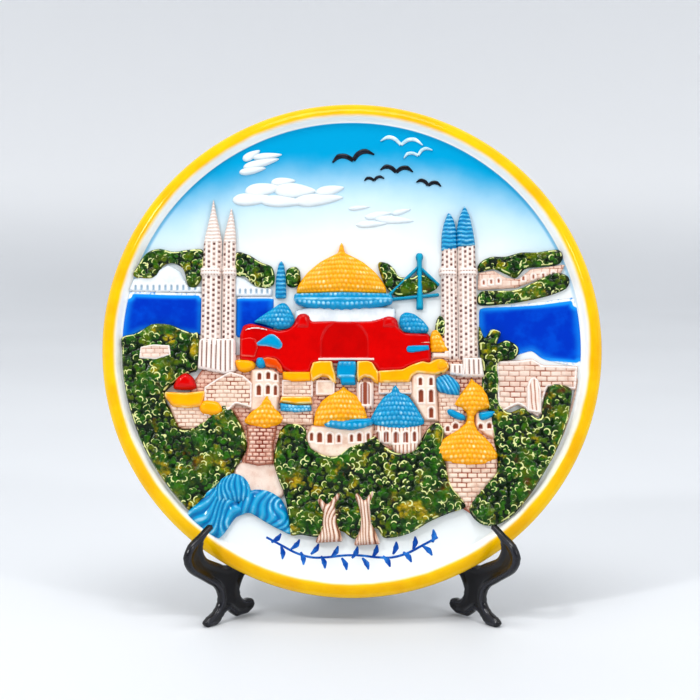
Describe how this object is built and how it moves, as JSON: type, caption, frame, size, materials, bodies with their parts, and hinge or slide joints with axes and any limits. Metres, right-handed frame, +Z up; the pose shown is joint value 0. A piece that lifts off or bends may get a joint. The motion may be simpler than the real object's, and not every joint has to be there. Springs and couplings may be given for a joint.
{
  "type": "souvenir plate on easel",
  "caption": "Round hand-painted relief plate with a rolled rim, leaning on a small folding plastic easel that hooks it at the bottom.",
  "frame": {"origin": "centre of the bounding box, on the surface that the easel stands on", "axes": "+Z up, the painted face looks towards -Y and leans back 15 degrees, +X to the right seen from the front"},
  "size_m": [0.2, 0.0834, 0.2041],
  "materials": {
    "white_glaze": "gloss white glaze; the well is painted sky and sea",
    "yellow_glaze": "gloss golden yellow band over the rolled rim",
    "orange_glaze": "gloss orange glaze",
    "blue_glaze": "gloss sky-blue glaze",
    "red_glaze": "gloss red glaze",
    "washed_white": "white glaze with a brown wash in its grooves",
    "washed_stone": "cream glaze with a red-brown wash in its joints",
    "leaf_green": "dark green glaze with olive and yellow patches and pale raised edges",
    "bark_brown": "cream glaze with a heavy brown wash",
    "teal_glaze": "gloss teal glaze",
    "easel_black": "semi-gloss moulded black plastic",
    "pin_black": "black plastic"
  },
  "bodies": {
    "stand": {"easel_left": "easel_black", "hinge_pin": "pin_black"},
    "right_half": {"easel_right": "easel_black"},
    "plate": {"plate_body": "white_glaze", "plate_rim": "yellow_glaze", "foot_ring": "white_glaze", "orange_domes": "orange_glaze", "blue_domes": "blue_glaze", "red_hall": "red_glaze", "left_towers": "washed_white", "right_towers": "washed_white", "fountain": "blue_glaze", "tree_trunks": "bark_brown", "stone_walls": "washed_stone", "foliage_left": "leaf_green", "foliage_centre": "leaf_green", "foliage_right": "leaf_green", "bridge": "teal_glaze", "far_shore": "leaf_green", "sky_clouds": "white_glaze"}
  },
  "joints": [
    {"name": "plate_lift", "type": "slide", "parent": "stand", "child": "plate", "axis": [0, 0, 1], "range_m": [0, 0.3]},
    {"name": "right_fold", "type": "hinge", "parent": "stand", "child": "right_half", "pos_m": [0, 0.03774, 0], "axis": [0, 0, 1], "range_deg": [-76, 0]}
  ],
  "couplings": [
    {"joint": "right_fold", "follows": "plate_lift", "rad_per_m": -4.42}
  ]
}
